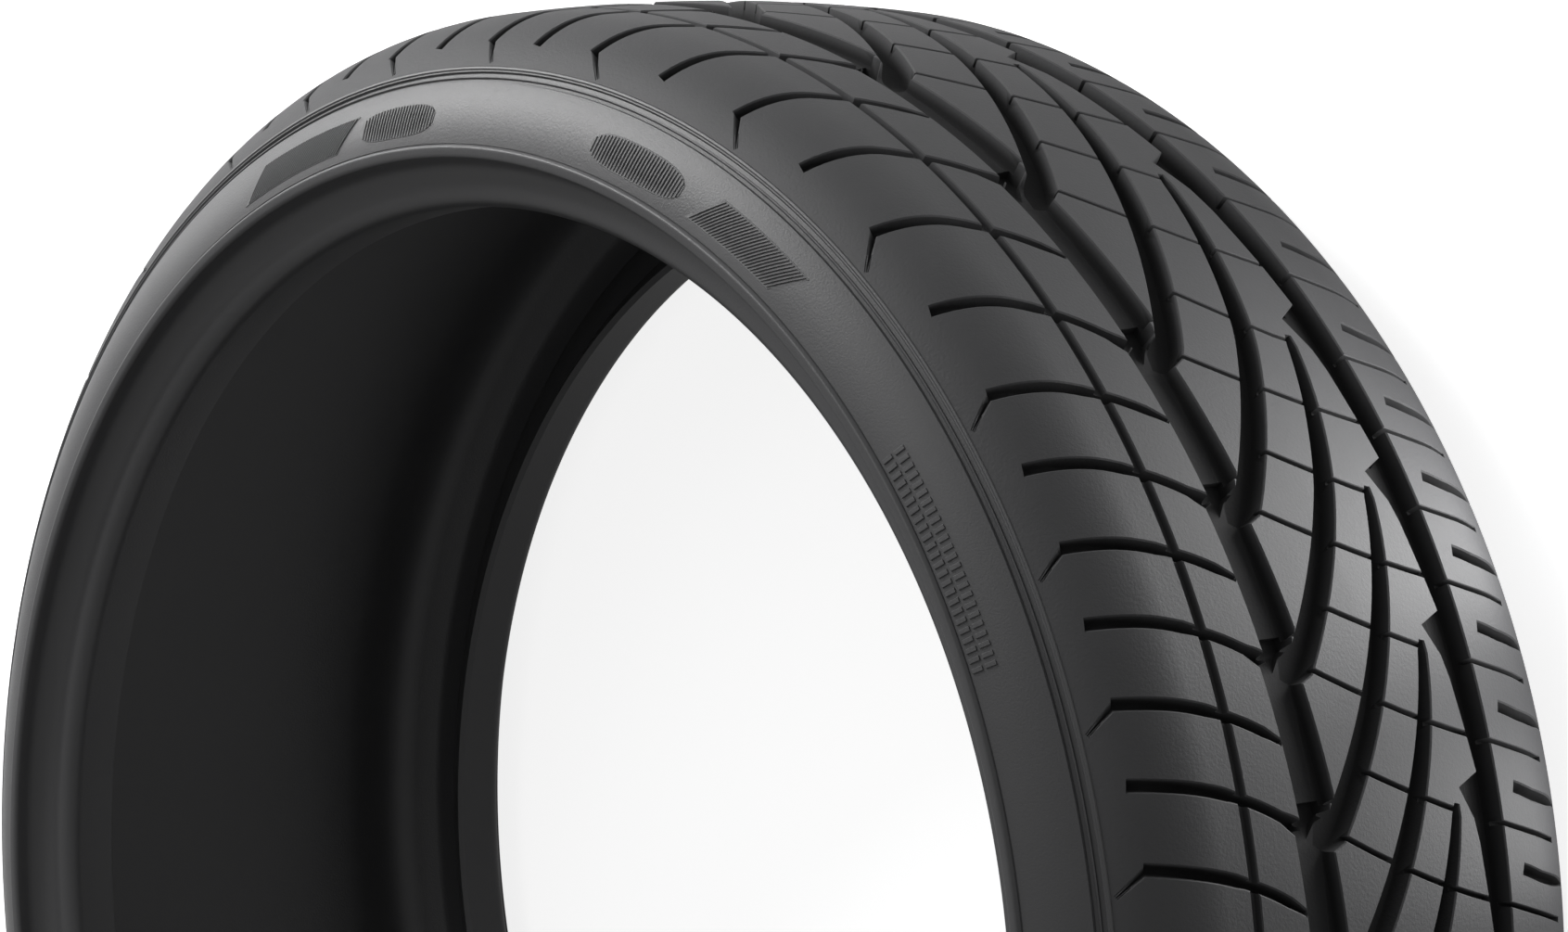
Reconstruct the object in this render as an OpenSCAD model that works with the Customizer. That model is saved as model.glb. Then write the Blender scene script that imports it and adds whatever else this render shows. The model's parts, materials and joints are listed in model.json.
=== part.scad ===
// Low-profile car tyre, 245/30 R20, with an asymmetric tread whose pattern runs one way round.
// It is off its wheel: the axis is Z, the origin is the middle of the tyre, and the side that
// faces outwards on a car faces up. Places round the tread are counted in pitches of the pattern.

/* [Size] */
// Nominal rim diameter, in inches
rim_code = 20; // [18:1:22]
// Height of the section, from the nominal rim radius to the tread
section_h = 73.5; // [70:0.5:85]
// Width over the rim protectors
overall_w = 240.2; // [238:0.2:250]

/* [Casing] */
// Radius of the crown, across the tread
crown_rad = 816; // [700:4:1200]
// Height above the middle plane at which the crown turns into the shoulder
crown_half = 73.6; // [72:0.2:76]
// Radius of the shoulder
shoulder_rad = 41.2; // [38:0.2:42]
// How far the sidewall bulges past a straight line
side_bulge = 1.5; // [0.5:0.1:3]
// Thickness of the crown, tread blocks and belts together
crown_wall = 16; // [15:0.5:18]
// Thickness of the sidewall
side_wall = 10; // [8:0.5:11]
// Height of the thick rim protector
protector_h = 5; // [4:0.5:8]
// How far the rim protector stands out from the sidewall
protector_out = 1.6; // [1:0.1:2.5]

/* [Beads] */
// Width between the flanges of the rim
rim_w = 215.9; // [210:0.1:218]
// Rise of the rim seat over the nominal rim radius
seat_rise = 2.4; // [1.5:0.1:3]
// Width of the straight seat of each bead
seat_w = 14; // [12:0.5:16]
// Radius of the heel of each bead
heel_rad = 6.5; // [5:0.5:7]
// Height of the rim flange over the seat
flange_h = 17.3; // [16.5:0.1:18]
// Radius of the curl of the rim flange, which the sidewall lies round
flange_rad = 9.5; // [9:0.1:10]
// Thickness of the sidewall round the curl of the rim flange
bead_wall = 13; // [12:0.5:14]

/* [Grooves round the tread] */
// Depth of the two wide grooves
ring_depth = 8; // [7.6:0.1:8.5]
// Height of the main groove above the middle plane
main_z = 32; // [31:0.5:33]
// Width of the main groove
main_w = 12.6; // [11:0.2:14]
// Distance of the far groove below the middle plane
far_z = 53.5; // [52:0.5:55]
// Width of the far groove
far_w = 9.6; // [8:0.2:11]
// Distance of the shallow groove from the edge of the crown
shallow_in = 12.1; // [10:0.1:14]
// Width of the shallow groove
shallow_w = 3.6; // [3:0.2:5]
// Depth of the shallow groove
shallow_depth = 2.8; // [2:0.1:4]

/* [Grooves across the tread] */
// Depth of the grooves across the tread
cross_depth = 7.4; // [6:0.1:7.5]
// Width of the long curved grooves where they end in the main groove
curve_w = 10; // [8:0.2:11]
// Width of the long curved grooves where they start
curve_start_w = 3.4; // [3:0.2:4]
// Width of the grooves in the upper shoulder
upper_cut_w = 3.2; // [2.4:0.2:4]
// Width of the plain land between the far groove and the notches in the lower shoulder
land_w = 8; // [6:0.5:9]
// Width of the notches in the lower shoulder
notch_w = 3.6; // [3:0.2:4.4]
// Width of the slots in the lower shoulder
slot_w = 1.7; // [1.4:0.1:2.2]
// Depth of the slots across the middle
slot_depth = 3.5; // [2.5:0.1:5]
// How far the saw teeth reach beyond the edges of the grooves
tooth_h = 3.2; // [2:0.2:4]
// How far the shoulder grooves reach round the shoulder, in degrees
shoulder_reach = 42; // [38:1:46]
// How much further the hooked ones reach, in degrees
hook_turn = 13; // [8:1:15]

/* [Pitches] */
// Length of a medium pitch, where a short one is 1
medium_pitch = 1.1; // [1.05:0.05:1.2]
// Length of a long pitch, where a short one is 1
long_pitch = 1.45; // [1.3:0.05:1.5]

/* [Hidden] */
rubber = [0.16, 0.16, 0.17];
inch = 25.4;
$fn = 180;

// Main radii, and the centre line of the curl of the rim flange
nominal_r = rim_code * inch / 2;
tread_r = nominal_r + section_h;
seat_r = nominal_r + seat_rise;
flange_r = seat_r + flange_h;
curl_r = flange_r - flange_rad;
curl_z = rim_w / 2 + flange_rad;

// The order of the pitches round the tread: short, medium and long ones, mixed so that they don't hum
pitch_order = "SSMLLLSMSSLSMSSLSMLSSMSMLSLMSSLMS";
pitches = len(pitch_order);
pattern_turn = 8.65;
function pitch_size(name) = name == "L" ? long_pitch : name == "M" ? medium_pitch : 1;
function size_before(k) = k == 0 ? 0 : size_before(k - 1) + pitch_size(pitch_order[k - 1]);
starts = [for (k = [0:pitches]) size_before(k)];

// Angle of the place x, counted in pitches
function angle_at(x) =
    let (lap = floor(x / pitches), k = floor(x) - lap * pitches, part = x - floor(x))
    pattern_turn + 360 * (lap + (starts[k] + part * (starts[k + 1] - starts[k])) / starts[pitches]);

// The outer surface: the crown up to crown_half, then the round of the shoulder
crown_tilt = asin(crown_half / crown_rad);
shoulder_end = 62;
shoulder_z = crown_half - shoulder_rad * sin(crown_tilt);
shoulder_r = crown_r(crown_half) - shoulder_rad * cos(crown_tilt);
function crown_r(z) = tread_r - z * z / (2 * crown_rad);
function steps(a, b, n) = [for (i = [0:n]) a + (b - a) * i / n];
function arc(r, z, rad, angles) = [for (a = angles) [r + rad * cos(a), z + rad * sin(a)]];
function mix(p, q, t) = p + (q - p) * t;
function backwards(points) = [for (i = [len(points) - 1:-1:0]) points[i]];
function upside_down(points) = [for (p = backwards(points)) [p[0], -p[1]]];

// The upper sidewall, from the shoulder down to the rim protector, a shallow bulge
side_top = arc(shoulder_r, shoulder_z, shoulder_rad, [shoulder_end])[0];
side_low = [flange_r + protector_h, overall_w / 2 - protector_out];
side_way = (side_low - side_top) / norm(side_low - side_top);
side_out = [side_way[1], -side_way[0]];
function sidewall(depth) = [for (t = steps(0.25, 1, 3))
    mix(side_top, side_low, t) + side_out * (4 * side_bulge * t * (1 - t) - depth)];

// Outer half of the section from crown_half to the toe of the bead
outer_half = concat(
    arc(shoulder_r, shoulder_z, shoulder_rad, steps(crown_tilt, shoulder_end, 6)),
    sidewall(0),
    [[flange_r + protector_h - 1.5, overall_w / 2], [flange_r + 1.5, overall_w / 2]],
    arc(curl_r, curl_z, flange_rad, steps(0, -90, 5)),
    arc(seat_r + heel_rad, rim_w / 2 - heel_rad, heel_rad, steps(90, 180, 4)),
    [[seat_r, rim_w / 2 - heel_rad - seat_w]]);

// Inner half of the section, from the toe of the bead to the middle plane
inner_half = concat(
    [[seat_r + 2, rim_w / 2 - heel_rad - seat_w - 1.5]],
    arc(curl_r, curl_z, flange_rad + bead_wall, steps(-85, -40, 3)),
    backwards([for (p = sidewall(side_wall)) if (p[0] > flange_r + bead_wall) p]),
    [for (t = steps(1, 0, 5)) let (a = crown_tilt + (shoulder_end - crown_tilt) * t)
        arc(shoulder_r, shoulder_z, shoulder_rad - crown_wall - (side_wall - crown_wall) * t, [a])[0]],
    [[crown_r(crown_half / 2) - crown_wall, crown_half / 2]]);

// A groove round the tread, as a notch in the line of the crown, written from below upwards
function notch(z, w, depth) = [
    [crown_r(z - w / 2), z - w / 2], [crown_r(z) - depth, z - w / 2 + 1],
    [crown_r(z) - depth, z + w / 2 - 1], [crown_r(z + w / 2), z + w / 2]];

section = concat(
    upside_down(outer_half),
    notch(-far_z, far_w, ring_depth),
    [[crown_r(-24), -24], [tread_r, 0]],
    notch(main_z, main_w, ring_depth),
    notch(crown_half - shallow_in, shallow_w, shallow_depth),
    outer_half,
    inner_half,
    [[tread_r - crown_wall, 0]],
    upside_down(inner_half));

module casing() rotate_extrude() polygon(section);

// What is left under the cross grooves: the floor of the grooves, turned round the axis.
// It follows the crown and runs out round the shoulder.
module crown_floor(depth)
    rotate_extrude() polygon(concat([[0, -crown_half]],
        [for (z = steps(-crown_half, crown_half, 6)) [crown_r(z) - depth, z]], [[0, crown_half]]));

module shoulder_floor()
    rotate_extrude() polygon(concat(
        [[0, 0], [tread_r - cross_depth, 0], [crown_r(crown_half / 2) - cross_depth, crown_half / 2]],
        [for (t = steps(0, 1, 4)) let (a = crown_tilt + (shoulder_end - crown_tilt) * t)
            arc(shoulder_r, shoulder_z, shoulder_rad - mix(cross_depth, 0.6, t), [a])[0]],
        [[0, overall_w / 2]]));

// A groove outline lies flat on the tread at the place x: each point is a place and a height, and
// an offset in millimetres round the tread. The cutter stands on it, square to the tread.
function flat(x, z, x0, side = 0) = [tread_r * sin(angle_at(x) - angle_at(x0)) + side, z];

low_r = tread_r - crown_wall + 3;
shoulder_low_r = shoulder_r + shoulder_rad * cos(shoulder_reach) - 4;
hook_low_r = shoulder_r + shoulder_rad * cos(shoulder_reach + hook_turn) - 3;

module cutter(x0, points, from_r)
    rotate([0, 0, angle_at(x0)]) translate([from_r, 0, 0]) rotate([90, 0, 90])
        linear_extrude(tread_r + 5 - from_r) polygon(points);

// A groove of even width w that follows a line of [place, height] points
function ribbon(x0, line, w) = concat(
    [for (p = line) flat(p[0], p[1], x0, -w / 2)],
    [for (p = backwards(line)) flat(p[0], p[1], x0, w / 2)]);

// Long curved groove: it starts narrow near the far groove and widens over two pitches to the main one
function curve_z(t) = -35.8 + 13.75 * t + 7.35 * t * t;
function curve_half(t) = (curve_start_w + (curve_w - curve_start_w) * (1 - pow(1 - t / 2.2, 2))) / 2
    * sqrt(1 + pow((13.75 + 14.7 * t) / 58, 2));
curve_steps = steps(0, 2.2, 4);
module curved_groove(k) cutter(k - 1.1, concat(
    [for (t = curve_steps) flat(k - t, curve_z(t) + curve_half(t), k - 1.1)],
    [for (t = backwards(curve_steps)) flat(k - t, curve_z(t) - curve_half(t), k - 1.1)],
    [flat(k + 0.03, curve_z(0), k - 1.1)]), low_r);

module curved_grooves() difference() {
    for (k = [0:pitches - 1]) curved_groove(k);
    crown_floor(cross_depth);
}

// Grooves of the upper shoulder, two a pitch. The first opens into a saw tooth, a slanted step along
// the edge of the main groove; the second ends in a hook on the shoulder.
upper_top = shoulder_z + shoulder_rad * sin(shoulder_reach);
hook_top = shoulder_z + shoulder_rad * sin(shoulder_reach + hook_turn);
edge_z = main_z + main_w / 2;
function upper_x(z) = let (q = (upper_top - z) / (upper_top - edge_z - 1.7)) 0.382 - 0.215 * q - 0.175 * q * q * q;

module tooth_cut(k)
    let (x0 = k - 0.2, line = [for (z = steps(upper_top, edge_z + tooth_h, 4)) [k + upper_x(z), z]])
    cutter(x0, concat(
        [for (p = line) flat(p[0], p[1], x0, -upper_cut_w / 2)],
        [flat(k - 0.88, edge_z - 0.6, x0), flat(k - 0.88, edge_z - 3, x0)],
        [flat(k, edge_z - 3, x0, upper_cut_w / 2)],
        [for (p = backwards(line)) flat(p[0], p[1], x0, upper_cut_w / 2)]), shoulder_low_r);

module hook_cut(k)
    let (x0 = k - 0.3, line = [for (z = steps(upper_top, edge_z + 6, 4)) [k - 0.505 + upper_x(z), z]])
    cutter(x0, concat(ribbon(x0, line, upper_cut_w),
        [flat(k - 0.6 + upper_x(upper_top), hook_top, x0)]), hook_low_r);

module upper_cuts() difference() {
    for (k = [0:pitches - 1]) {
        tooth_cut(k);
        hook_cut(k);
    }
    shoulder_floor();
}

// Saw teeth of the lower edge of the main groove, and of the upper edge of the far one, where each
// has a peak by the start of a curved groove. Each point is a place and a height over the edge.
module saw_tooth(k, edge, points) let (x0 = k - 0.4)
    cutter(x0, [for (p = points) flat(k + p[0], edge + p[1], x0)], tread_r - cross_depth - 0.8);

module lower_teeth() for (k = [0:pitches - 1])
    saw_tooth(k, main_z - main_w / 2, [[-0.15, 0.6], [-0.15, 3], [-0.92, 3], [-0.92, -tooth_h - 0.3]]);

module far_teeth() for (k = [0:pitches - 1])
    saw_tooth(k, -far_z + far_w / 2, [[-0.83, -0.6], [-0.26, tooth_h], [-0.12, tooth_h + 1.6],
        [0.08, tooth_h + 7], [0.12, -1], [0.12, -3], [-0.83, -3]]);

// Slots across the middle: one from the main groove to the far one and a short one between the
// curved grooves
module slots() for (k = [0:pitches - 1]) {
    cutter(k - 0.35, ribbon(k - 0.35, [for (q = steps(-7, 72, 3))
        [k - 0.105 - 0.0098 * q + 0.000034 * q * q, 20 - q]], slot_w), tread_r - slot_depth - 0.6);
    cutter(k + 0.1, ribbon(k + 0.1, [for (q = steps(-3, 42, 2))
        [k + 0.254 - 0.0086 * q + 0.000028 * q * q, 5.6 - q]], slot_w), tread_r - slot_depth - 0.6);
}

// Notches and slots of the lower shoulder, two of each a pitch. Both run down the slope of the shoulder.
notch_top = far_z + far_w / 2 + land_w;
module lower_cuts() difference() {
    for (k = [0:pitches - 1], shift = [0, -0.505]) let (x0 = k + shift) {
        cutter(x0, ribbon(x0, [for (t = [0, 0.33, 1])
            [x0 + 0.04 - 0.24 * t + 0.09 * t * t, -mix(notch_top, upper_top, t)]], notch_w), shoulder_low_r);
        cutter(x0 + 0.28, ribbon(x0 + 0.28, [for (t = steps(0, 1, 2))
            [x0 + 0.35 - 0.17 * t, -mix(notch_top - land_w - 1, mix(notch_top, upper_top, 0.63), t)]],
            slot_w), shoulder_low_r);
    }
    mirror([0, 0, 1]) shoulder_floor();
}

module tyre() color(rubber) difference() {
    casing();
    curved_grooves();
    upper_cuts();
    lower_teeth();
    far_teeth();
    slots();
    lower_cuts();
}

tyre();
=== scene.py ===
"""Looks of a low-profile car tyre that lies on its side.

The tyre's axis is Z. Sizes are in millimetres and become metres where a mesh is made.
A place on the outside is given by two numbers. One is the place round the tread, counted in
pitches of the pattern or as an angle. The other is the reach, the length along the section from
the middle of the tread, positive towards the upper side.
"""
import json
import math

import bpy
import numpy as np
from mathutils import Matrix, Vector


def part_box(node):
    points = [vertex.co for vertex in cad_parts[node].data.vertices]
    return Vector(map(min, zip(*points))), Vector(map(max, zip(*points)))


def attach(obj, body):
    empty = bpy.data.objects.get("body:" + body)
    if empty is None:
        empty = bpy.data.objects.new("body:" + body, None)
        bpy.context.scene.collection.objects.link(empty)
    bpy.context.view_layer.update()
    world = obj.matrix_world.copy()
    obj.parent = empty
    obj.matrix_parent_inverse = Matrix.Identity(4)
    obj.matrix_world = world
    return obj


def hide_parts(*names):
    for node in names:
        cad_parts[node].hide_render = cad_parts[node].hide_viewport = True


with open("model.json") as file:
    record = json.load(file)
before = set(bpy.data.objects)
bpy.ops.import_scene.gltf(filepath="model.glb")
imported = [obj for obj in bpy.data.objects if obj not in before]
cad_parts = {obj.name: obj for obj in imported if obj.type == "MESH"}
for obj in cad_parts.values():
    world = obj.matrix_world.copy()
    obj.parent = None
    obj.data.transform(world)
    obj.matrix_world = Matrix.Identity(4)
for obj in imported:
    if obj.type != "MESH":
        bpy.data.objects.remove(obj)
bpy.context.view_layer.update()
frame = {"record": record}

MM = 0.001
NODE = "tyre"
BODY = "root"

# Sizes taken from the frame
LOW, HIGH = (np.array(corner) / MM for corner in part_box(NODE))
TREAD_R = HIGH[0]
HALF_W = HIGH[2]
SEAT = frame["record"]["mounts"][0]
SEAT_R = SEAT["dims"]["r_mm"]
SEAT_LENGTH = SEAT["dims"]["length_mm"]
SEAT_Z = SEAT["pos_m"][2] / MM

# Section of the outside
CROWN_RAD = 816.0
CROWN_HALF = 73.6
SHOULDER_RAD = 41.2
SHOULDER_END = math.radians(62)
SIDE_BULGE = 1.5
PROTECTOR_OUT = 1.6
PROTECTOR_H = 5.0
FLANGE_H = 17.3
FLANGE_R = SEAT_R + FLANGE_H
FLANGE_RAD = 9.5
HEEL_RAD = 6.5
RIM_HALF = SEAT_Z + SEAT_LENGTH / 2 + HEEL_RAD

# Depths under the outside, at the crown and in the sidewall: of the tread ring's back, of the
# casing under it and of the inside. They change over a stretch that starts at DEPTH_FROM.
TREAD_BACK = (13, 8)
CASING_TOP = (10, 5)
INSIDE = (16, 10)
DEPTH_FROM, DEPTH_OVER = 70, 41
BEAD_WALL = 13.0

# The tread ring ends and the sidewall begins at this reach
PARTING = 111.5
TREAD_SEGMENTS = 384
CASING_SEGMENTS = 360

# Radius that turns an angle into a length round the tread
ROUND_R = 325.0

# Grooves round the tyre, from reach to reach
MAIN = (25.7, 38.2)
MAIN_DEPTH = 5.6
FAR = (-58.3, -48.7)
FAR_DEPTH = 7.6
SHALLOW = (59.7, 63.3)
SHALLOW_DEPTH = 2.6

# Grooves across the tread
CURVE_RUN = 2.14
CURVE_DEPTH = 7.6
MAIN_TOOTH_DEPTH = 5.2
FAR_TOOTH_DEPTH = 7.1
POCKET_DEPTH = 8.2
SLOT_WIDTH = 1.7
SLOT_DEPTH = 3.6
THIN_WIDTH = 1.6
NARROW = {"chamfer": 0.3, "draft": 0.1, "fillet": 0.4}

# The second groove of each pitch lies this part of a pitch from the first
SECOND = 0.505

# How far the cutters stand over the outside, how far inwards each side of a bar may reach, as a
# share of its width, and where the middle point of a round lies, as a share of its radius
CLEAR = 1.5
INWARDS = 0.46
ROUND_MID = 0.3

# Painted shade in the grooves: the depth at which it is full, and for the floors that are lit and
# get less of it their groove, its depth and their share of it
FULLY_DARK = 1.8
LIT_FLOORS = ((MAIN, MAIN_DEPTH, 0.75), (SHALLOW, SHALLOW_DEPTH, 0.5))
FLOOR_MARGIN = 0.15

# A face is part of the outside when it lies this near to it and faces along its normal
NEAR_OUTSIDE = 0.08
FACES_OUT = 0.93

# The pattern's pitches, short, medium and long
PITCH_ORDER = "SSMLLLSMSSLSMSSLSMLSSMSMLSLMSSLMS"
PITCH_SIZES = {"S": 1.0, "M": 1.1, "L": 1.45}
PATTERN_TURN = math.radians(8.65)
PITCHES = len(PITCH_ORDER)
K = np.arange(PITCHES)

pitch_ends = np.concatenate([[0], np.cumsum([PITCH_SIZES[kind] for kind in PITCH_ORDER])])
lap_ends = 2 * math.pi * pitch_ends / pitch_ends[-1]


def angle_at(x):
    """Angle of the place x round the tread: it runs evenly from each pitch's start to its end."""
    lap = np.floor(np.asarray(x) / PITCHES)
    within = np.interp(x - lap * PITCHES, np.arange(PITCHES + 1), lap_ends)
    return PATTERN_TURN + 2 * math.pi * lap + within


def smooth(t):
    """A step from 0 to 1 with soft ends, 3 t squared less 2 t cubed."""
    t = np.clip(t, 0, 1)
    return t * t * (3 - 2 * t)


# The outside of the section

def arc(r, z, rad, start, stop, count):
    """Points of a circular arc round (r, z), from the angle start to the angle stop."""
    a = np.linspace(start, stop, count)
    return np.stack([r + rad * np.cos(a), z + rad * np.sin(a)], 1)


def outer_half():
    """The upper half of the outside: a flat parabola over the crown, an arc round the shoulder, and
    a shallow bulge down the sidewall to the rim protector."""
    z = np.linspace(0, CROWN_HALF, 60)
    crown = np.stack([TREAD_R - z ** 2 / (2 * CROWN_RAD), z], 1)
    tilt = math.asin(CROWN_HALF / CROWN_RAD)
    r0 = crown[-1, 0] - SHOULDER_RAD * math.cos(tilt)
    z0 = CROWN_HALF - SHOULDER_RAD * math.sin(tilt)
    shoulder = arc(r0, z0, SHOULDER_RAD, tilt, SHOULDER_END, 80)[1:]
    top, low = shoulder[-1], np.array([FLANGE_R + PROTECTOR_H, HALF_W - PROTECTOR_OUT])
    t = np.linspace(0, 1, 60)[1:, None]
    way = (low - top) / np.linalg.norm(low - top)
    bulge = np.array([way[1], -way[0]]) * 4 * SIDE_BULGE * t * (1 - t)
    return np.concatenate([crown, shoulder, top + (low - top) * t + bulge])


upper_line = outer_half()
line = np.concatenate([upper_line[:0:-1] * [1, -1], upper_line])
reach = np.concatenate([[0], np.cumsum(np.linalg.norm(np.diff(line, axis=0), axis=1))])
reach -= reach[-1] / 2
LIP = reach[-1]
tangent = np.gradient(line, reach, axis=0)
tangent /= np.linalg.norm(tangent, axis=1)[:, None]


def surface(s, height):
    """Radius and height along the axis of the point at reach s, raised by height along the
    normal."""
    r, z, tr, tz = (np.interp(s, reach, column) for column in (*line.T, *tangent.T))
    return r + height * tz, z - height * tr


def to_xyz(angle, s, height):
    """Points in metres from angles, reaches and heights over the outside."""
    r, z = surface(s, height)
    return np.stack([r * np.cos(angle), r * np.sin(angle), z + 0 * angle], -1) * MM


def line_of(pairs):
    """Section points from pairs of reach and height."""
    s, h = np.array(pairs, float).T
    return np.stack(surface(s, h), 1)


def below(s, crown, side):
    """Section points under the outside at the reaches s. Their depth is even under the crown and
    changes towards the sidewall."""
    depth = crown + (side - crown) * smooth((np.abs(s) - DEPTH_FROM) / DEPTH_OVER)
    return np.stack(surface(s, -depth), 1)


# Meshes

def grid_quads(rows, columns):
    """Corner numbers of the quads of a grid that closes on itself both ways."""
    i, j = np.meshgrid(np.arange(rows), np.arange(columns), indexing="ij")
    a, b = (i + 1) % rows * columns, (j + 1) % columns
    return np.stack([i * columns + j, a + j, a + b, i * columns + b], -1).reshape(-1, 4)


def mesh_object(name, points, quads):
    """An object of those points and quads, turned so that its faces look outwards."""
    p = points[quads]
    facing = np.cross(p[:, 2] - p[:, 0], p[:, 3] - p[:, 1])
    volume = np.einsum("ij,ij->i", facing, p.mean(1)).sum()
    if volume < 0:
        quads = quads[:, ::-1]
    mesh = bpy.data.meshes.new(name)
    mesh.vertices.add(len(points))
    mesh.vertices.foreach_set("co", points.astype(np.float32).ravel())
    mesh.loops.add(quads.size)
    mesh.loops.foreach_set("vertex_index", quads.astype(np.int32).ravel())
    mesh.polygons.add(len(quads))
    mesh.polygons.foreach_set("loop_start", np.arange(0, quads.size, 4, dtype=np.int32))
    mesh.update(calc_edges=True)
    obj = bpy.data.objects.new(name, mesh)
    bpy.context.scene.collection.objects.link(obj)
    return obj


def ring(name, profile, segments):
    """A closed section of [radius, height] points, turned round the axis."""
    a = 2 * math.pi * np.arange(segments)[:, None] / segments
    r, z = profile.T
    points = np.stack([r * np.cos(a), r * np.sin(a), z + 0 * a], -1).reshape(-1, 3) * MM
    return mesh_object(name, points, grid_quads(segments, len(profile)))


def ribbon(t, s, width):
    """Edges of bands of the given widths, one at each pitch k, along the line of places k + t and
    reaches s: each edge lies half the width from the line, square to it."""
    angle = angle_at(K[:, None] + np.asarray(t, float)[None])
    s = np.broadcast_to(np.asarray(s, float), angle.shape)
    u = angle * ROUND_R
    du, ds = np.gradient(u, axis=1), np.gradient(s, axis=1)
    length = np.hypot(du, ds)
    square = np.stack([-ds / length / ROUND_R, du / length], -1)
    across = square * (np.asarray(width) / 2)[..., None]
    middle = np.stack([angle, s], -1)
    return middle + across, middle - across


def between(t, left_s, right_s):
    """Edges of areas, one at each pitch k, between two reaches along the places k + t."""
    angle = angle_at(K[:, None] + np.asarray(t, float)[None])
    return tuple(np.stack([angle, np.broadcast_to(np.asarray(s, float), angle.shape)], -1)
                 for s in (left_s, right_s))


def swept(left, right, half):
    """Points of closed bars between two edges. half lists the section's left side, as distances
    inwards from the edge and heights over the outside, which the right side mirrors."""
    span = right - left
    width = np.hypot(span[..., 0] * ROUND_R, span[..., 1])[..., None]
    rows = [(left, span, o, h) for o, h in half]
    rows += [(right, -span, o, h) for o, h in half[::-1]]
    points = []
    for edge, way, o, h in rows:
        place = edge + way * np.minimum(o / width, INWARDS)
        height = np.broadcast_to(h, place.shape[:-1])
        points.append(to_xyz(place[..., 0], place[..., 1], height))
    return np.stack(points, 2)


def bars(name, *groups):
    """Closed bars, from groups of points by copy, station and place in the section."""
    points, quads, count = [], [], 0
    for group in groups:
        copies, stations, m, _ = group.shape
        i, j = np.meshgrid(np.arange(stations - 1), np.arange(m), indexing="ij")
        on = (j + 1) % m
        side = np.stack([i * m + j, (i + 1) * m + j, (i + 1) * m + on, i * m + on], -1)
        n = np.arange(m // 2 - 1)
        end = np.stack([n, n + 1, m - 2 - n, m - 1 - n], -1)
        one = np.concatenate([side.reshape(-1, 4), end, end[:, ::-1] + (stations - 1) * m])
        first = np.arange(copies)[:, None, None] * stations * m
        quads.append((one[None] + first).reshape(-1, 4) + count)
        points.append(group.reshape(-1, 3))
        count += len(points[-1])
    return mesh_object(name, np.concatenate(points), np.concatenate(quads))


def groove(left, right, depth, chamfer=0.5, draft=0.35, fillet=1.2):
    """Section of a groove between two edges: a small chamfer at the top, drafted sides and a round
    at the floor. The depth is one number, or one for each station."""
    depth = np.asarray(depth, float)
    half = [(-chamfer - CLEAR, CLEAR), (0, -chamfer), (draft, fillet - depth),
            (draft + ROUND_MID * fillet, ROUND_MID * fillet - depth), (draft + fillet, -depth)]
    return swept(left, right, half)


def carve(body, points):
    """Cuts the bars out of the body."""
    cutter = bars("cutter", points)
    cut = body.modifiers.new("cut", "BOOLEAN")
    cut.operation, cut.solver, cut.object = "DIFFERENCE", "MANIFOLD", cutter
    deps = bpy.context.evaluated_depsgraph_get()
    mesh = bpy.data.meshes.new_from_object(body.evaluated_get(deps))
    body.modifiers.clear()
    old, body.data = body.data, mesh
    mesh.name = body.name
    mesh.materials.clear()
    bpy.data.meshes.remove(old)
    bpy.data.meshes.remove(cutter.data)


def soften(body, sharp):
    """Smooth shading, with hard edges past that angle in degrees."""
    body.data.shade_smooth()
    body.data.set_sharp_from_angle(angle=math.radians(sharp))


def places(mesh):
    """The vertices' places in millimetres."""
    co = np.empty((len(mesh.vertices), 3), np.float32)
    mesh.vertices.foreach_get("co", co.ravel())
    return co.astype(float) / MM


def follow_section(mesh):
    """On the outside itself the normals are those of the section, so that the cuts leave no marks
    in the shine."""
    vertex = np.empty(len(mesh.loops), np.int32)
    mesh.loops.foreach_get("vertex_index", vertex)
    flat = np.empty((len(mesh.polygons), 3), np.float32)
    mesh.polygons.foreach_get("normal", flat.ravel())
    sizes = np.empty(len(mesh.polygons), np.int32)
    mesh.polygons.foreach_get("loop_total", sizes)
    p = places(mesh)[vertex]
    r = np.hypot(p[:, 0], p[:, 1])
    s = np.interp(p[:, 2], line[:, 1], reach)
    r0, tr, tz = (np.interp(s, reach, column) for column in (line[:, 0], *tangent.T))
    normal = np.stack([tz * p[:, 0] / r, tz * p[:, 1] / r, -tr], 1)
    near = np.abs((r - r0) * tz) < NEAR_OUTSIDE
    along = (normal * np.repeat(flat, sizes, axis=0)).sum(1) > FACES_OUT
    own = np.where((near & along)[:, None], normal, 0)
    mesh.normals_split_custom_set(own.astype(np.float32))


def mark_depth(mesh):
    """The vertices' value deep, mask of the painted shade: 0 on the outside, 1 at its darkest."""
    p = places(mesh)
    s = np.interp(p[:, 2], line[:, 1], reach)
    under = np.interp(s, reach, line[:, 0]) - np.hypot(p[:, 0], p[:, 1])
    # Painted shade: darker with the depth under the outside
    deep = np.clip(under / FULLY_DARK, 0, 1)
    # Lit floors of the wider grooves keep only a share of the painted shade
    for (low, high), depth, share in LIT_FLOORS:
        at_floor = (s > low) & (s < high) & (under < depth + FLOOR_MARGIN)
        deep = np.where(at_floor, share * deep, deep)
    values = mesh.attributes.new("deep", "FLOAT", "POINT").data
    values.foreach_set("value", deep.astype(np.float32))


# Tread ring, with its grooves round the tyre

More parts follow.
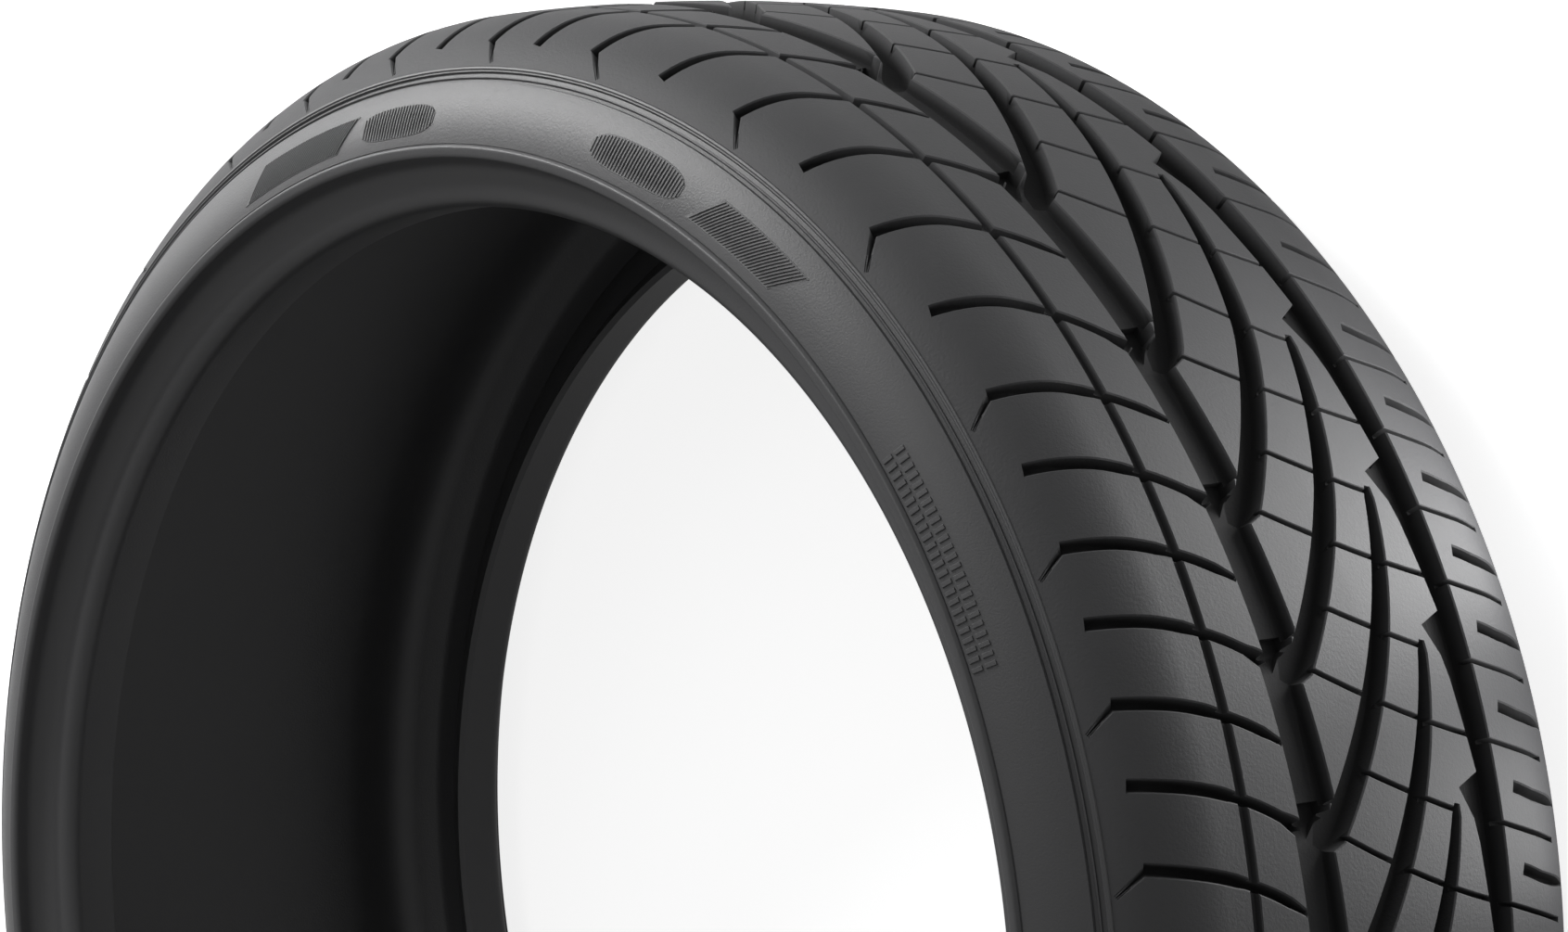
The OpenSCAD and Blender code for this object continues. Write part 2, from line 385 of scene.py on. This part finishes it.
def ring_groove(low, high, depth, chamfer=0.5, draft=0.5, fillet=1.4):
    """Reaches and heights of a groove round the tyre, from its low edge to its high one."""
    half = [(-chamfer, 0), (0, -chamfer), (draft, fillet - depth),
            (draft + ROUND_MID * fillet, ROUND_MID * fillet - depth), (draft + fillet, -depth)]
    return [(low + o, h) for o, h in half] + [(high - o, h) for o, h in half[::-1]]


def bare(start, stop, step):
    """Places along the bare outside."""
    return [(s, 0) for s in np.linspace(start, stop, max(2, round((stop - start) / step)))]


def tread_line():
    """The tread ring's section, over the outside from the lower parting and along its back."""
    beside = 1.2
    outside = (
        bare(-PARTING, -70, 3) + bare(-68, FAR[0] - beside, 4) + ring_groove(*FAR, FAR_DEPTH)
        + bare(FAR[1] + beside, MAIN[0] - beside, 6) + ring_groove(*MAIN, MAIN_DEPTH)
        + bare(MAIN[1] + beside, SHALLOW[0] - 1, 5)
        + ring_groove(*SHALLOW, SHALLOW_DEPTH, 0.4, 0.3, 0.6)
        + bare(SHALLOW[1] + 1, 70, 4) + bare(73, PARTING, 3))
    back = below(np.linspace(PARTING, -PARTING, 16), *TREAD_BACK)
    return np.concatenate([line_of(outside), back])


def curved_grooves():
    """Long curved grooves. Each climbs to the main groove along a parabola, and its width grows by
    1 less the square of the share still to run."""
    t = np.linspace(0, CURVE_RUN, 30)
    width = 3.4 + 7.0 * (1 - (1 - t / CURVE_RUN) ** 2)
    width[[0, -1]] *= 0.5
    climb = -35.8 + 13.75 * t + 7.35 * t ** 2
    yield groove(*ribbon(-t - 0.01, climb, width), CURVE_DEPTH)


def main_teeth():
    """Saw teeth along both edges of the main groove: each edge slants over a pitch, and then it
    steps back."""
    upper_edge, lower_edge = np.linspace(38.3, 41.3, 8), np.linspace(21.9, 25.6, 8)
    yield groove(*between(np.linspace(-0.95, -0.03, 8), 36, upper_edge), MAIN_TOOTH_DEPTH)
    yield groove(*between(np.linspace(-0.9, -0.12, 8), lower_edge, 28), MAIN_TOOTH_DEPTH)


def pockets():
    """Deep pockets of the main groove, where the curved grooves run into it, with a ramp down."""
    edges = between([-0.09, 0.0, 0.05, 0.13], [31.5, 27.5, 24.4, 24.4], 37.1)
    depth = [MAIN_DEPTH, POCKET_DEPTH, POCKET_DEPTH, POCKET_DEPTH]
    yield groove(*edges, depth, chamfer=0.3, draft=0.2, fillet=0.5)


def far_teeth():
    """Saw teeth of the far groove: its edge rises over a pitch, and then it steps back."""
    t = [-0.87, -0.6, -0.263, -0.116, 0.083, 0.16]
    edge = [-48.9, -47.1, -45.3, -43.9, -38.5, -48.6]
    yield groove(*between(t, sum(FAR) / 2, edge), FAR_TOOTH_DEPTH)


def shoulder_t(s):
    """Place of the shoulder grooves at the reach s, a cubic curve."""
    q = (100.5 - s) / 60.5
    return 0.382 - 0.215 * q - 0.175 * q ** 3


def shoulder_depth(s, deep=7.0):
    """Depth of a groove that gets shallow round the shoulder."""
    return deep - (deep - 3.2) * smooth((np.abs(s) - 82) / 20)


def shoulder_grooves():
    """Grooves of the upper shoulder, two a pitch, which run out round the shoulder. The first opens
    wide at the main groove and ends in a slanted hook, the second starts narrow."""
    s = np.linspace(38.6, 101.5, 18)
    width = 3.2 + 0.7 * smooth((s - 64) / 4) + 2.6 * smooth((47 - s) / 8)
    yield groove(*ribbon(shoulder_t(s), s, width), shoulder_depth(s))
    s = np.linspace(40, 100.5, 18)
    width = 1.5 + 1.7 * smooth((s - 40) / 8) + 0.7 * smooth((s - 64) / 4)
    yield groove(*ribbon(shoulder_t(s) - SECOND, s, width), shoulder_depth(s))
    s = np.linspace(99, 110, 6)
    hook = ribbon(np.linspace(-0.12, -0.27, 6), s, np.linspace(2.4, 1.2, 6))
    yield groove(*hook, np.linspace(2.4, 0.9, 6), 0.3)


def slots():
    """Narrow slots across the middle, two a pitch, each a flat parabola."""
    s = np.linspace(21, -47, 10)
    q = 20 - s
    t = -0.105 - 0.0098 * q + 0.000034 * q ** 2
    yield groove(*ribbon(t, s, SLOT_WIDTH), SLOT_DEPTH, **NARROW)
    s = np.linspace(5.6, -35, 7)
    q = 5.6 - s
    t = 0.254 - 0.0086 * q + 0.000028 * q ** 2
    yield groove(*ribbon(t, s, SLOT_WIDTH), SLOT_DEPTH, **NARROW)


def far_notches():
    """Notches and thin cuts of the far shoulder, two of each a pitch, along lines of a few points.
    The notches get narrow as they run out."""
    for shift in (0, -SECOND):
        s = np.linspace(-66.5, -100, 11)
        t = np.interp(-s, [66.5, 68, 76.5, 84, 100], [0.04, 0.032, -0.03, -0.066, -0.12])
        width = 3.6 - 2.6 * smooth((-s - 85) / 14)
        yield groove(*ribbon(shift + t, s, width), shoulder_depth(s, 6.5))
        s = np.linspace(-57, -87, 9)
        t = np.interp(-s, [57, 58.4, 72, 84, 87], [0.345, 0.337, 0.26, 0.193, 0.18])
        yield groove(*ribbon(shift + t, s, THIN_WIDTH), shoulder_depth(s, 5.5), **NARROW)


tread = ring("tread", tread_line(), TREAD_SEGMENTS)
for family in (curved_grooves, main_teeth, pockets, far_teeth, shoulder_grooves, slots,
               far_notches):
    for cut in family():
        carve(tread, cut)
soften(tread, 30)
follow_section(tread.data)
mark_depth(tread.data)

# Casing: sidewalls, rim protectors, beads and the inside

CURL = (FLANGE_R - FLANGE_RAD, RIM_HALF + FLANGE_RAD)
RIDGE_H = 0.35
LIP_RAD = 1.7
LIP_OUT = 3.2
EDGE_RAD = 1.6


def ridge(start):
    """A fine ridge round the sidewall, as reaches and heights."""
    return [(start, 0), (start + 0.3, RIDGE_H), (start + 0.8, RIDGE_H), (start + 1.1, 0)]


def side_points():
    """The upper side, from the parting down the sidewall, round the rim protector, the curl of the
    flange and the heel, and along the seat to the toe. Next to the tread are a flat ridge and two
    fine grooves."""
    wall = [(PARTING - 0.3, -5), (PARTING, -0.1), (111.9, 0.4), (112.6, 0.4), (113.0, -0.1),
            (113.5, -0.15), (113.9, -1.0), (115.1, -1.0), (115.4, -0.25), (115.9, -0.25),
            (116.2, -1.0), (117.3, -1.0), (118.0, 0)]
    wall += [(s, 0) for s in np.linspace(119.5, 140.8, 9)]
    wall += ridge(141.4) + ridge(143.9) + [(LIP, 0)]
    lip = arc(FLANGE_R + LIP_OUT, HALF_W - LIP_RAD, LIP_RAD, math.radians(50), math.pi / 2, 4)
    edge = arc(FLANGE_R + EDGE_RAD, HALF_W - EDGE_RAD, EDGE_RAD, math.pi / 2, math.pi, 5)
    curl = arc(*CURL, FLANGE_RAD, 0, -math.pi / 2, 10)
    heel = arc(SEAT_R + HEEL_RAD, RIM_HALF - HEEL_RAD, HEEL_RAD, math.pi / 2, math.pi, 8)
    toe_z = SEAT_Z - SEAT_LENGTH / 2
    toe = [[SEAT_R, toe_z], [SEAT_R + 2, toe_z - 1.5]]
    return np.concatenate([line_of(wall), lip, edge, curl, heel, toe])


def inner_points():
    """The inside of the upper half, from the toe to the middle."""
    bead = arc(*CURL, FLANGE_RAD + BEAD_WALL, math.radians(-85), math.radians(-40), 8)
    inside = below(np.linspace(LIP, 0, 40), *INSIDE)
    return np.concatenate([bead, inside[inside[:, 0] > FLANGE_R + BEAD_WALL + 1]])


def mirrored(points):
    """The same points on the lower side, in the opposite order."""
    return points[::-1] * [1, -1]


def casing_line():
    """The casing's section, from under the tread round the upper side, the inside and back."""
    crown = below(np.linspace(-PARTING + 1, PARTING - 1, 24), *CASING_TOP)
    side, inner = side_points(), inner_points()
    return np.concatenate([crown, side, inner[:-1], mirrored(inner), mirrored(side)])


casing = ring("casing", casing_line(), CASING_SEGMENTS)
soften(casing, 35)

# Marks of the sidewall: plates of fine ribs, and rows of short radial ribs. A plate is given by its
# two angles in degrees and by whether its ends are round, else they are slanted. A row is given by
# its low and high reach.

SIDE_R = 291.0
PLATE_MID, PLATE_HALF, PLATE_H = 131.75, 6.25, 0.2
PLATE_SLANT = math.radians(2.1)
PLATES = [(51.6, 61.0, False), (63.4, 73.0, True), (90.0, 98.2, True), (99.8, 111.5, False)]
RIB_PITCH, RIB_W, RIB_H, RIB_INSET = 1.6, 0.8, 0.5, 0.5
RIB_LEAN = PLATE_SLANT * 0.92
ROWS = [(131.6, 135.4), (136.6, 140.4)]
ROW_TURNS = (21.5, 37.0)
ROW_PITCH, ROW_W, ROW_H = 3.4, 1.7, 0.5
ROOT = 1.5


def raised(left, right, high):
    """Section of thin raised bars between two edges, a little rounded at the top."""
    return swept(left, right, [(-0.2, -ROOT), (0, high - 0.2), (0.2, high)])


def plate_half(share, rounded):
    """Half the height of a plate at each share of its length: even, or round at both ends, as the
    cube root of one less the cube of the distance from the middle."""
    if not rounded:
        return np.full_like(share, PLATE_HALF)
    away = np.abs(2 * np.clip(share, 0.005, 0.995) - 1)
    return PLATE_HALF * np.cbrt(1 - away ** 3)


def plate(start, stop, rounded):
    """Edges of a plate between two angles."""
    share = np.linspace(0, 1, 24)
    slant = 0 if rounded else PLATE_SLANT
    half = plate_half(share, rounded)
    middle = start + (stop - start) * share
    return tuple(np.stack([middle + side * slant / 2, PLATE_MID + side * half], -1)[None]
                 for side in (-1, 1))


def radial(angles, low, high, width, lean=0.0):
    """Ribs of that width across the sidewall, which lean by an angle from their low end to their
    high one."""
    t = np.linspace(0, 1, 4)
    middle = np.asarray(angles)[:, None] + lean * (t - 0.5)
    s = np.reshape(low, (-1, 1)) + np.reshape(high - low, (-1, 1)) * t
    s = np.broadcast_to(s, middle.shape)
    return tuple(np.stack([middle + side * width / 2 / SIDE_R, s], -1) for side in (-1, 1))


def side_marks():
    """Points of the plates, of the ribs on them and of the rows of short ribs. All of them come
    again half a turn further round."""
    plates, ribs, rows = [], [], []
    for half_turn in (0, math.pi):
        for first, last, rounded in PLATES:
            start, stop = math.radians(first) + half_turn, math.radians(last) + half_turn
            plates.append(raised(*plate(start, stop, rounded), PLATE_H))
            angles = np.arange(start + 0.004, stop - 0.003, RIB_PITCH / SIDE_R)
            half = plate_half((angles - start) / (stop - start), rounded) - RIB_INSET
            lean = 0 if rounded else RIB_LEAN
            edges = radial(angles, PLATE_MID - half, PLATE_MID + half, RIB_W, lean)
            ribs.append(raised(*edges, RIB_H))
        angles = np.arange(*(np.radians(ROW_TURNS) + half_turn), ROW_PITCH / SIDE_R)
        for low, high in ROWS:
            rows.append(raised(*radial(angles, low, high, ROW_W), ROW_H))
    return plates, ribs, rows


plates, ribs, rows = side_marks()
side_plates = bars("side_plates", *plates)
side_ribs = bars("side_ribs", *ribs)
side_rows = bars("side_rows", *rows)
for marks in (side_plates, side_ribs, side_rows):
    soften(marks, 30)

# Materials


def node(tree, kind, place, **values):
    """A shader node at the place, with its sockets or properties set."""
    made = tree.nodes.new(kind)
    made.location = place
    for name, value in values.items():
        if hasattr(made, name) and name not in made.inputs:
            setattr(made, name, value)
        else:
            made.inputs[name.replace("_", " ")].default_value = value
    return made


def grey(tone):
    """A slightly cold grey."""
    return tone, tone, tone + 0.003, 1


def grain_group():
    """Fine rubber grain and soft mottling, shared by the rubber materials."""
    tree = bpy.data.node_groups.new("rubber_grain", "ShaderNodeTree")
    for name, way in (("Scale", "INPUT"), ("Mottle", "OUTPUT"), ("Height", "OUTPUT")):
        tree.interface.new_socket(name, in_out=way, socket_type="NodeSocketFloat")
    ins, outs = node(tree, "NodeGroupInput", (-900, 0)), node(tree, "NodeGroupOutput", (300, 0))
    where = node(tree, "ShaderNodeTexCoord", (-900, -200))
    fine = node(tree, "ShaderNodeTexNoise", (-500, 100), Detail=4.0, Roughness=0.6)
    broad = node(tree, "ShaderNodeTexNoise", (-500, -200), Scale=22.0, Detail=5.0, Roughness=0.65)
    link = tree.links.new
    link(where.outputs["Object"], fine.inputs["Vector"])
    link(where.outputs["Object"], broad.inputs["Vector"])
    link(ins.outputs["Scale"], fine.inputs["Scale"])
    link(fine.outputs[0], outs.inputs["Height"])
    link(broad.outputs[0], outs.inputs["Mottle"])
    return tree


GRAIN = grain_group()


def rubber(name, dark, light, rough, grain_scale, bump):
    """Satin rubber: the colour mottles between two greys, and the grain breaks the shine."""
    made = bpy.data.materials.new(name)
    made.use_nodes = True
    tree = made.node_tree
    shader = tree.nodes["Principled BSDF"]
    shader.inputs["Roughness"].default_value = rough
    grain = node(tree, "ShaderNodeGroup", (-700, 0))
    grain.node_tree = GRAIN
    grain.inputs["Scale"].default_value = grain_scale
    tone = node(tree, "ShaderNodeMix", (-350, 200), data_type="RGBA")
    tone.inputs["A"].default_value = grey(dark)
    tone.inputs["B"].default_value = grey(light)
    wear = node(tree, "ShaderNodeBump", (-350, -200), Strength=bump, Distance=0.0004)
    link = tree.links.new
    link(grain.outputs["Mottle"], tone.inputs["Factor"])
    link(tone.outputs["Result"], shader.inputs["Base Color"])
    link(grain.outputs["Height"], wear.inputs["Height"])
    link(wear.outputs["Normal"], shader.inputs["Normal"])
    return made


def paint_groove_shade(material, groove_shade):
    """Painted shade in the depth of the grooves, by the vertices' value deep: the colour there is
    darker by the factor given second, and the rubber there is also rougher."""
    tree = material.node_tree
    shader = tree.nodes["Principled BSDF"]
    tone = shader.inputs["Base Color"].links[0].from_socket
    rough = shader.inputs["Roughness"].default_value
    deep = node(tree, "ShaderNodeAttribute", (-700, 450), attribute_name="deep")
    # Painted shade: the colour's factor falls from 1 to the groove's factor
    fade = node(tree, "ShaderNodeMapRange", (-500, 450), interpolation_type="SMOOTHSTEP",
                To_Min=1.0, To_Max=groove_shade)
    dull = node(tree, "ShaderNodeMapRange", (-500, 700), To_Min=rough, To_Max=1.0)
    darker = node(tree, "ShaderNodeVectorMath", (-150, 300), operation="SCALE")
    link = tree.links.new
    link(deep.outputs["Fac"], fade.inputs["Value"])
    link(deep.outputs["Fac"], dull.inputs["Value"])
    link(tone, darker.inputs[0])
    link(fade.outputs["Result"], darker.inputs["Scale"])
    link(darker.outputs[0], shader.inputs["Base Color"])
    link(dull.outputs["Result"], shader.inputs["Roughness"])


tread_rubber = rubber("tread_rubber", 0.062, 0.085, rough=0.6, grain_scale=900.0, bump=0.35)
side_rubber = rubber("side_rubber", 0.093, 0.108, rough=0.37, grain_scale=1300.0, bump=0.25)
mark_rubber = rubber("mark_rubber", 0.130, 0.145, rough=0.45, grain_scale=1300.0, bump=0.25)
row_rubber = rubber("row_rubber", 0.095, 0.115, rough=0.45, grain_scale=1300.0, bump=0.25)
# Painted shade in the tread's grooves, down to 0.18 of the rubber's colour
paint_groove_shade(tread_rubber, 0.18)

for piece, finish in ((tread, tread_rubber), (casing, side_rubber), (side_plates, mark_rubber),
                      (side_ribs, mark_rubber), (side_rows, row_rubber)):
    piece.data.materials.append(finish)
    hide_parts(NODE)
    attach(piece, BODY)

# Camera. It looks down on the tyre from the upper right of its own axes, a little rolled.

CAMERA_PLACE = Vector((1487.17, 237.65, 1299.29)) * MM
CAMERA_RIGHT = Vector((0.67009579, -0.04432335, -0.74095011))
CAMERA_UP = Vector((0.0, 0.99821559, -0.05971287))

camera = bpy.data.objects.new("camera", bpy.data.cameras.new("camera"))
camera.data.sensor_width = 36
camera.data.lens = 125.365
camera.data.clip_start, camera.data.clip_end = 0.1, 60
turned = Matrix((CAMERA_RIGHT, CAMERA_UP, CAMERA_RIGHT.cross(CAMERA_UP))).transposed()
camera.matrix_world = Matrix.Translation(CAMERA_PLACE) @ turned.to_4x4()
bpy.context.scene.collection.objects.link(camera)
bpy.context.scene.camera = camera

# Floor and world, white in the picture. The floor keeps the tyre's shadow. Each one's glow is the
# strength at which it is seen, the one that shows in the tyre's shine and the light that it gives.

FLOOR_HALF = 6.0
FLOOR_Z = LOW[2] * MM
FLOOR_GLOW = (0.84, 0.22, 0.0)
WORLD_GLOW = (1.0, 0.38, 0.12)
WHITE = (1, 1, 1, 1)


def glow(tree, socket, seen, mirrored, given):
    """Strength of a background: it is seen, plainly or through glass, with the strength seen, shows
    in the shine of the object with the strength mirrored, and gives the light given."""
    path = node(tree, "ShaderNodeLightPath", (-900, 0))
    plain = node(tree, "ShaderNodeMath", (-700, 150), operation="MAXIMUM")
    direct = node(tree, "ShaderNodeMath", (-500, 150), operation="MULTIPLY")
    both = node(tree, "ShaderNodeMath", (-300, 0), operation="MULTIPLY_ADD")
    least = node(tree, "ShaderNodeMath", (-120, 0), operation="MAXIMUM")
    direct.inputs[1].default_value, both.inputs[1].default_value = seen, mirrored
    least.inputs[1].default_value = given
    link = tree.links.new
    link(path.outputs["Is Camera Ray"], plain.inputs[0])
    link(path.outputs["Is Transmission Ray"], plain.inputs[1])
    link(plain.outputs[0], direct.inputs[0])
    link(path.outputs["Is Glossy Ray"], both.inputs[0])
    link(direct.outputs[0], both.inputs[2])
    link(both.outputs[0], least.inputs[0])
    link(least.outputs[0], socket)


def white_floor():
    """A pale floor that the tyre lies on."""
    mesh = bpy.data.meshes.new("floor")
    h = FLOOR_HALF
    corners = [(x, y, FLOOR_Z) for x, y in ((-h, -h), (h, -h), (h, h), (-h, h))]
    mesh.from_pydata(corners, [], [(0, 1, 2, 3)])
    pale = bpy.data.materials.new("floor_white")
    pale.use_nodes = True
    shader = pale.node_tree.nodes["Principled BSDF"]
    shader.inputs["Base Color"].default_value = (0.9, 0.9, 0.9, 1)
    shader.inputs["Roughness"].default_value = 0.9
    shader.inputs["Emission Color"].default_value = WHITE
    glow(pale.node_tree, shader.inputs["Emission Strength"], *FLOOR_GLOW)
    mesh.materials.append(pale)
    made = bpy.data.objects.new("floor", mesh)
    bpy.context.scene.collection.objects.link(made)
    return made


floor = white_floor()

world = bpy.data.worlds.new("world")
bpy.context.scene.world = world
world.use_nodes = True
sky = world.node_tree.nodes["Background"]
sky.inputs["Color"].default_value = WHITE
glow(world.node_tree, sky.inputs["Strength"], *WORLD_GLOW)

# Lamps, square and soft. Their angles are in degrees, lengths in metres and powers in watts.
# Those aloft are given by the angle round the axis and over the floor, size and power: the key
# brightens the sidewall at the picture's top left, with softer ones round it. Those on the floor
# are given by angle, distance from the axis, size and power: they brighten the tread at the
# picture's right.

LAMP_DISTANCE = 2.2
LAMPS_ALOFT = {"key": (135, 20, 0.7, 11.9), "upper": (115, 33, 0.8, 18.0),
               "top": (90, 58, 1.1, 4.0), "low": (152, 8, 0.7, 3.3)}
OVER_FLOOR = 0.0025
LAMPS_ON_FLOOR = {"pool": (30, 0.46, 0.16, 0.53), "edge_1": (24, 0.375, 0.06, 0.12),
                  "edge_2": (7, 0.375, 0.06, 0.09)}


def lamp(name, place, aim, size, power):
    """A square lamp at a place, which faces a point. The picture doesn't show the lamp itself."""
    light = bpy.data.lights.new(name, "AREA")
    light.shape, light.size, light.energy = "SQUARE", size, power
    obj = bpy.data.objects.new(name, light)
    facing = (place - aim).to_track_quat("Z", "Y").to_matrix().to_4x4()
    obj.matrix_world = Matrix.Translation(place) @ facing
    obj.visible_camera = False
    bpy.context.scene.collection.objects.link(obj)


def aloft(turn, rise, distance):
    """A place at that distance from the middle, by its angle round the axis and over the floor."""
    a, e = math.radians(turn), math.radians(rise)
    return distance * Vector((math.cos(e) * math.cos(a), math.cos(e) * math.sin(a), math.sin(e)))


for name, (turn, rise, size, power) in LAMPS_ALOFT.items():
    lamp(name, aloft(turn, rise, LAMP_DISTANCE), Vector(), size, power)
for name, (turn, distance, size, power) in LAMPS_ON_FLOOR.items():
    on_floor = aloft(turn, 0, distance) + Vector((0, 0, FLOOR_Z + OVER_FLOOR))
    lamp(name, on_floor, on_floor + Vector((0, 0, 1)), size, power)

bpy.context.scene.view_settings.view_transform = "Standard"
